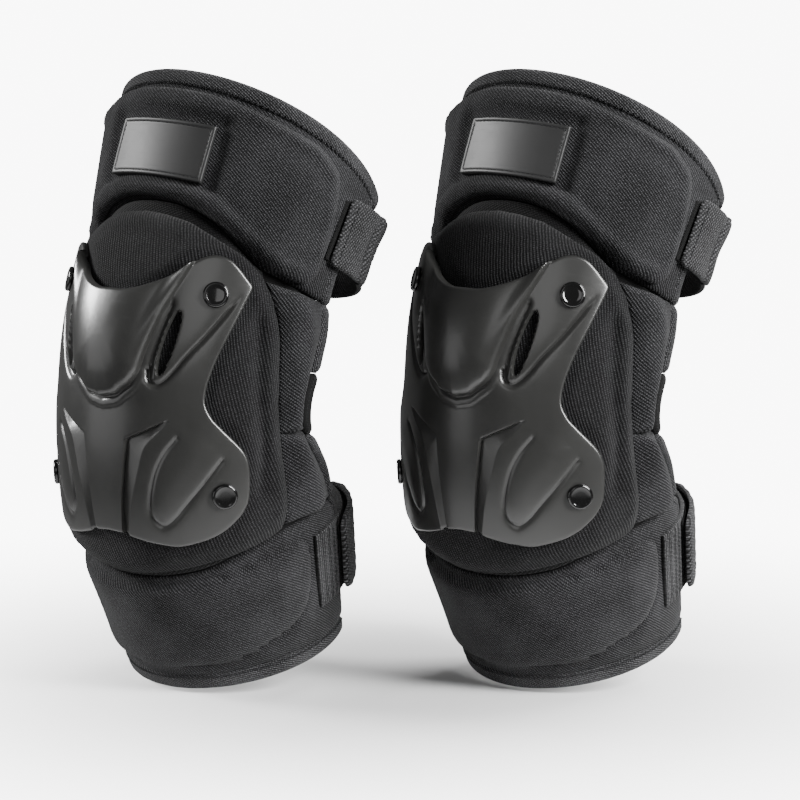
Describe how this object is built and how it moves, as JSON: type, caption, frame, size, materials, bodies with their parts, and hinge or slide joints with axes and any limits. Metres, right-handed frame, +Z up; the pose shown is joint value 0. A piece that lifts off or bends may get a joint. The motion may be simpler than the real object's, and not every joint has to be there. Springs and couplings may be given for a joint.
{
  "type": "knee guard pair",
  "caption": "Pair of padded fabric knee guards, each with a riveted hard shell, a thigh pad, edge binding and two strap tabs that peel open; both bend at the knee.",
  "frame": {"origin": "middle of the left leg at the knee, inside the left guard's lining", "axes": "+X to the outer side of the leg, -Y to the front, +Z up the standing wearer"},
  "size_m": [0.3103, 0.3131, 0.3409],
  "materials": {
    "shell_plastic": "satin moulded plastic",
    "rivet_gloss": "gloss black",
    "washer_plastic": "matte",
    "main_fabric": "twill weave",
    "pad_fabric": "fine ribbed weave",
    "insert_fabric": "smooth knit",
    "binding_tape": "ribbed tape",
    "lining_mesh": "spacer mesh",
    "foam": "closed-cell foam",
    "label_rubber": "satin",
    "strap_elastic": "ribbed elastic",
    "tab_webbing": "coarse brushed weave",
    "hook_tape": "hook tape",
    "loop_tape": "loop tape"
  },
  "bodies": {
    "left_knee": {"left_knee_lining": "lining_mesh", "left_knee_foam": "foam", "left_knee_pad": "pad_fabric", "left_knee_shell": "shell_plastic", "left_rivet_caps": "rivet_gloss", "left_rivet_washers": "washer_plastic", "left_upper_gussets": "main_fabric", "left_lower_gussets": "main_fabric", "left_knee_upper_bindings": "binding_tape", "left_knee_edge_inserts": "insert_fabric", "left_knee_lower_bindings": "binding_tape"},
    "left_thigh": {"left_thigh_lining": "lining_mesh", "left_thigh_sleeve": "main_fabric", "left_thigh_panel": "main_fabric", "left_thigh_label": "label_rubber", "left_top_binding": "binding_tape", "left_thigh_edge_bindings": "binding_tape", "left_upper_strap": "strap_elastic", "left_upper_loop_patch": "loop_tape"},
    "left_shin": {"left_shin_lining": "lining_mesh", "left_shin_sleeve": "main_fabric", "left_bottom_binding": "binding_tape", "left_shin_edge_bindings": "binding_tape", "left_lower_strap": "strap_elastic", "left_lower_loop_patch": "loop_tape"},
    "left_upper_tab": {"left_upper_strap_tab": "tab_webbing", "left_upper_hook_patch": "hook_tape"},
    "left_lower_tab": {"left_lower_strap_tab": "tab_webbing", "left_lower_hook_patch": "hook_tape"},
    "right_knee": {"right_knee_lining": "lining_mesh", "right_knee_foam": "foam", "right_knee_pad": "pad_fabric", "right_knee_shell": "shell_plastic", "right_rivet_caps": "rivet_gloss", "right_rivet_washers": "washer_plastic", "right_upper_gussets": "main_fabric", "right_lower_gussets": "main_fabric", "right_knee_upper_bindings": "binding_tape", "right_knee_edge_inserts": "insert_fabric", "right_knee_lower_bindings": "binding_tape"},
    "right_thigh": {"right_thigh_lining": "lining_mesh", "right_thigh_sleeve": "main_fabric", "right_thigh_panel": "main_fabric", "right_thigh_label": "label_rubber", "right_top_binding": "binding_tape", "right_thigh_edge_bindings": "binding_tape", "right_upper_strap": "strap_elastic", "right_upper_loop_patch": "loop_tape"},
    "right_shin": {"right_shin_lining": "lining_mesh", "right_shin_sleeve": "main_fabric", "right_bottom_binding": "binding_tape", "right_shin_edge_bindings": "binding_tape", "right_lower_strap": "strap_elastic", "right_lower_loop_patch": "loop_tape"},
    "right_upper_tab": {"right_upper_strap_tab": "tab_webbing", "right_upper_hook_patch": "hook_tape"},
    "right_lower_tab": {"right_lower_strap_tab": "tab_webbing", "right_lower_hook_patch": "hook_tape"}
  },
  "joints": [
    {"name": "left_thigh_flex", "type": "hinge", "parent": "left_knee", "child": "left_thigh", "pos_m": [0, -0.04634, 0.1187], "axis": [1, 0, 0], "range_deg": [0, 15]},
    {"name": "left_shin_flex", "type": "hinge", "parent": "left_knee", "child": "left_shin", "pos_m": [0, -0.06057, -0.08976], "axis": [-1, 0, 0], "range_deg": [0, 12]},
    {"name": "left_upper_tab_peel", "type": "hinge", "parent": "left_thigh", "child": "left_upper_tab", "pos_m": [0.06991, 0.0613, 0.08172], "axis": [0.1066, 0.4524, 0.8854], "range_deg": [0, 75]},
    {"name": "left_lower_tab_peel", "type": "hinge", "parent": "left_shin", "child": "left_lower_tab", "pos_m": [0.03538, 0.07598, -0.07245], "axis": [0.0615, -0.1644, 0.9845], "range_deg": [0, 34]},
    {"name": "right_thigh_flex", "type": "hinge", "parent": "right_knee", "child": "right_thigh", "pos_m": [0.14688, 0.0726, 0.1187], "axis": [1, 0, 0], "range_deg": [0, 15]},
    {"name": "right_shin_flex", "type": "hinge", "parent": "right_knee", "child": "right_shin", "pos_m": [0.14688, 0.05837, -0.08976], "axis": [-1, 0, 0], "range_deg": [0, 12]},
    {"name": "right_upper_tab_peel", "type": "hinge", "parent": "right_thigh", "child": "right_upper_tab", "pos_m": [0.21679, 0.18024, 0.08172], "axis": [0.1066, 0.4524, 0.8854], "range_deg": [0, 90]},
    {"name": "right_lower_tab_peel", "type": "hinge", "parent": "right_shin", "child": "right_lower_tab", "pos_m": [0.18226, 0.19492, -0.07245], "axis": [0.0615, -0.1644, 0.9845], "range_deg": [0, 90]},
    {"name": "right_guard_lift", "type": "slide", "parent": "left_knee", "child": "right_knee", "axis": [0, 0, 1], "range_m": [0, 0.3]}
  ],
  "couplings": [
    {"joint": "left_shin_flex", "follows": "left_thigh_flex", "ratio": 0.8},
    {"joint": "right_shin_flex", "follows": "right_thigh_flex", "ratio": 0.8}
  ]
}
